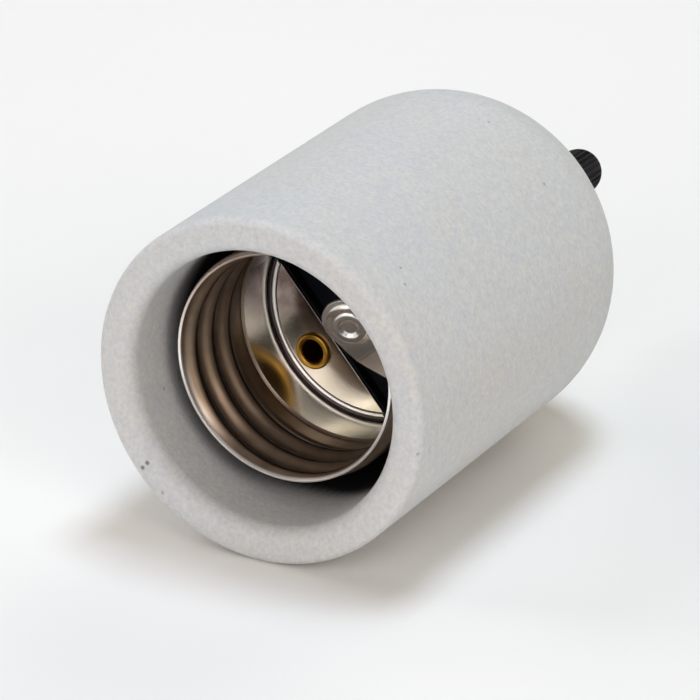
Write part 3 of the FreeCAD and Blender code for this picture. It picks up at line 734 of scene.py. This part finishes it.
def button_height(radius):
    """How far the stamped button stands over the strip at a distance from its centre."""
    if radius < DIMPLE_RADIUS:
        share = max(0.0, (radius - DIMPLE_RADIUS + DIMPLE_ROUND) / DIMPLE_ROUND)
        return BUTTON_HEIGHT - DIMPLE_DEPTH * (1 - share * share * (3 - 2 * share))
    top_end = BUTTON_RADIUS - BUTTON_ROUND
    if radius < top_end:
        return BUTTON_HEIGHT
    reach = (radius - top_end) / (BUTTON_ROUND + BUTTON_SKIRT)
    if reach >= 1:
        return 0.0
    return BUTTON_HEIGHT * (1 + math.cos(math.pi * reach)) / 2


def strip_stations():
    """Points along the strip past the round tip, as (distance from the axis, depth), with eased bends."""
    slope = math.tan(TIP_SLOPE)
    bend = Vector((LEAF_BEND, TIP_DEPTH + LEAF_BEND * slope))
    foot = Vector((FOOT_START, FOOT_DEPTH))
    end = Vector((FOOT_END, FOOT_DEPTH))
    start = Vector((0, TIP_DEPTH))
    points = []
    for before, corner, after in ((start, bend, foot), (bend, foot, end)):
        first = corner + (before - corner).normalized() * STRIP_SHEET
        last = corner + (after - corner).normalized() * STRIP_SHEET
        for i in range(BEND_STEPS + 1):
            t = i / BEND_STEPS
            points.append(first * (1 - t) ** 2 + corner * 2 * t * (1 - t) + last * t * t)
    points.append(end)
    return points


def tip_point(radius, angle):
    """A point of the tip at a distance and an angle from its centre, raised by the button."""
    blend = max(0.0, (radius - BUTTON_RADIUS) / (STRIP_HALF_WIDTH - BUTTON_RADIUS))
    stretch = math.cos(TIP_SLOPE) * (1 - blend) + blend
    reach = radius * math.cos(angle) * stretch
    flat = Vector((reach, TIP_DEPTH + reach * math.tan(TIP_SLOPE), radius * math.sin(angle)))
    return flat + TIP_NORMAL * button_height(radius)


def round_tip(mesh):
    """Rings of faces from the button's centre out to the tip's edge; gives the outer ring."""
    radii = [TIP_CENTRE] + [STRIP_HALF_WIDTH * i / TIP_RINGS for i in range(1, TIP_RINGS + 1)]
    angles = [2 * math.pi * i / CONTACT_SIDES - math.pi / 2 for i in range(CONTACT_SIDES)]
    inner = [mesh.verts.new(tip_point(radii[0], angle)) for angle in angles]
    mesh.faces.new(inner)
    for radius in radii[1:]:
        outer = [mesh.verts.new(tip_point(radius, angle)) for angle in angles]
        for i in range(CONTACT_SIDES):
            j = (i + 1) % CONTACT_SIDES
            mesh.faces.new((inner[i], outer[i], outer[j], inner[j]))
        inner = outer
    return inner


def bent_leaf(mesh, row):
    """The strip from the tip's half ring over its two bends to the foot's end."""
    for reach, depth in strip_stations():
        following = [mesh.verts.new((reach, depth, vertex.co.z)) for vertex in row]
        for i in range(len(row) - 1):
            mesh.faces.new((row[i], following[i], following[i + 1], row[i + 1]))
        row = following


def contact_strip():
    """The spring strip: a round tip with a stamped button, a bent leaf and a foot."""
    mesh = bmesh.new()
    edge = round_tip(mesh)
    bent_leaf(mesh, edge[:CONTACT_SIDES // 2 + 1])
    data = bpy.data.meshes.new("contact_strip")
    mesh.to_mesh(data)
    mesh.free()
    strip = bpy.data.objects.new("contact_strip", data)
    bpy.context.collection.objects.link(strip)
    apply_modifier(strip, "SOLIDIFY", thickness=STRIP_SHEET, offset=thickness_side(strip, TIP_NORMAL))
    edit_mesh(strip, bpy.ops.mesh.normals_make_consistent, inside=False)
    rivet = Matrix.Translation((RIVET_PLACE, FOOT_DEPTH, 0))
    cut_hole(strip, rivet, RIVET_HOLE, RIVET_SIDES, 4 * STRIP_SHEET)
    strip.data.transform(mechanism_place() @ Matrix.Rotation(CONTACT_TURN, 4, "Y"))
    shade_smooth(strip)
    carry_over(strip, "centre_contact")
    return strip


def thickness_side(piece, outward):
    """Which way a sheet grows so that its modelled face stays outside."""
    return -1.0 if piece.data.polygons[0].normal.dot(outward) > 0 else 1.0


def finish_nodes():
    """Give every CAD node, or the finer piece in its place, its finish."""
    for name, material in finishes().items():
        if name == "screw_shell":
            piece = screw_shell()
        elif name == "centre_contact":
            piece = contact_strip()
        elif name in SMOOTHED_NODES:
            piece = smooth_copy(name)
        else:
            piece = frame["nodes"][name]
        piece.data.materials.clear()
        piece.data.materials.append(material)


def studio_floor():
    """A plain pale floor under the part."""
    clear_selection()
    bpy.ops.mesh.primitive_plane_add(size=FLOOR_SIZE, location=(0, 0, FLOOR_LEVEL))
    floor = bpy.context.object
    floor.name = "studio_floor"
    material, tree, shader, place = start_material("floor_white")
    grain = noise(tree, place, 40.0)
    pale = tuple(share * 0.985 for share in FLOOR_COLOUR) + (1,)
    feed(tree, shader.inputs["Base Color"], blend_colours(tree, grain, FLOOR_COLOUR + (1,), pale))
    shader.inputs["Roughness"].default_value = 0.9
    shader.inputs["Specular IOR Level"].default_value = 0.1
    floor.data.materials.append(material)


def soft_box(name, direction, size, energy, colour):
    """A soft square light that faces the part from a direction."""
    centre = Vector((0, 0, AXIS_HEIGHT))
    way = Vector(direction).normalized()
    bpy.ops.object.light_add(type="AREA", location=centre + way * LIGHT_DISTANCE)
    light = bpy.context.object
    light.name = name
    light.rotation_euler = way.to_track_quat("Z", "Y").to_euler()
    light.data.size = size
    light.data.energy = energy
    light.data.color = colour


def studio_lights():
    """A cool light overhead and warm, weaker lights all round."""
    soft_box("overhead", (0.05, 0.13, 1), 0.3, 5.47, (0.77, 0.88, 1.0))
    soft_box("back", (0, 1, 0.7), 0.7, 2.69, (1.0, 0.94, 0.76))
    soft_box("left", (-1, 0, 0.7), 0.7, 3.91, (1.0, 0.92, 0.88))
    soft_box("right", (1, -0.3, 0.3), 0.9, 3.66, (1.0, 0.90, 0.74))
    soft_box("right_high", (0.8, -0.7, 0.8), 0.6, 2.14, (1.0, 0.92, 0.92))
    soft_box("front", (0, -1, 0.25), 0.7, 3.33, (1.0, 0.93, 0.94))
    soft_box("front_left", (-0.6, -0.8, 0.35), 0.6, 1.42, (1.0, 0.96, 0.80))


def studio_world():
    """A pale backdrop that only the camera sees; the lamps give all the light."""
    world = bpy.data.worlds.new("studio")
    bpy.context.scene.world = world
    world.use_nodes = True
    tree = world.node_tree
    background = tree.nodes["Background"]
    background.inputs["Color"].default_value = BACKDROP_COLOUR + (1,)
    seen = add_node(tree, "ShaderNodeLightPath").outputs["Is Camera Ray"]
    tree.links.new(seen, background.inputs["Strength"])


def photo_camera():
    """The camera at the photograph's viewing angle."""
    bpy.ops.object.camera_add()
    camera = bpy.context.object
    camera.name = "photo_camera"
    back = CAMERA_RIGHT.cross(CAMERA_UP)
    turn = Matrix((CAMERA_RIGHT, CAMERA_UP, back)).transposed()
    camera.matrix_world = Matrix.Translation(CAMERA_PLACE) @ turn.to_4x4()
    camera.data.lens = CAMERA_LENS
    camera.data.sensor_width = SENSOR_WIDTH
    camera.data.clip_start = 0.01
    camera.data.clip_end = 20.0
    bpy.context.scene.camera = camera


bpy.context.scene.view_settings.view_transform = "Standard"
finish_nodes()
studio_floor()
studio_lights()
studio_world()
photo_camera()
